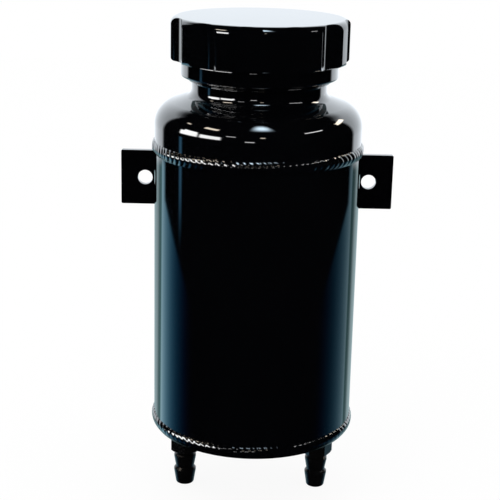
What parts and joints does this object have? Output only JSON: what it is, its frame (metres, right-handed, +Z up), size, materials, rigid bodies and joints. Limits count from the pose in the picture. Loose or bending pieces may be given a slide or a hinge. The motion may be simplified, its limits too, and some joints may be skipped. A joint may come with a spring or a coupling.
{
  "type": "coolant expansion tank",
  "caption": "Round welded coolant expansion tank with a domed shoulder, fluted screw cap, side mounting tabs and hose barbs under a flat base.",
  "frame": {"origin": "midway between the two tab holes, on the plane of the tabs' rear faces", "axes": "+Z up along the tank's axis, +X towards the overflow side (right in the picture), +Y from the tank's front to the mounting plane"},
  "size_m": [0.1402, 0.1046, 0.2458],
  "materials": {
    "tank_coat": "gloss black powder coat over welded aluminium",
    "cap_black": "gloss black over turned and milled aluminium",
    "barb_black": "satin black anodised",
    "bare_aluminium": "drawn, bare",
    "seal_rubber": "smooth moulded"
  },
  "bodies": {
    "tank": {"tank_tube": "tank_coat", "spun_shoulder": "tank_coat", "base_plate": "tank_coat", "filler_collar": "tank_coat", "shoulder_seam_weld": "tank_coat", "base_seam_weld": "tank_coat", "collar_weld": "tank_coat", "feed_bung_weld": "tank_coat", "overflow_bung_weld": "tank_coat", "left_mount_tab": "tank_coat", "right_mount_tab": "tank_coat", "left_tab_front_weld": "tank_coat", "left_tab_rear_weld": "tank_coat", "right_tab_front_weld": "tank_coat", "right_tab_rear_weld": "tank_coat", "feed_bung": "tank_coat", "overflow_bung": "tank_coat", "feed_hose_barb": "barb_black", "overflow_hose_barb": "barb_black", "overflow_standpipe": "bare_aluminium"},
    "seal": {"cap_seal_ring": "seal_rubber"},
    "cap": {"screw_cap": "cap_black"}
  },
  "joints": [
    {"name": "cap_rise", "type": "slide", "parent": "tank", "child": "seal", "axis": [0, 0, 1], "range_m": [0, 0.012]},
    {"name": "cap_turn", "type": "hinge", "parent": "seal", "child": "cap", "pos_m": [0, -0.029, 0.0657], "axis": [0, 0, 1], "range_deg": [0, 1440]}
  ],
  "couplings": [
    {"joint": "cap_rise", "follows": "cap_turn", "m_per_rad": 0.00047746}
  ]
}
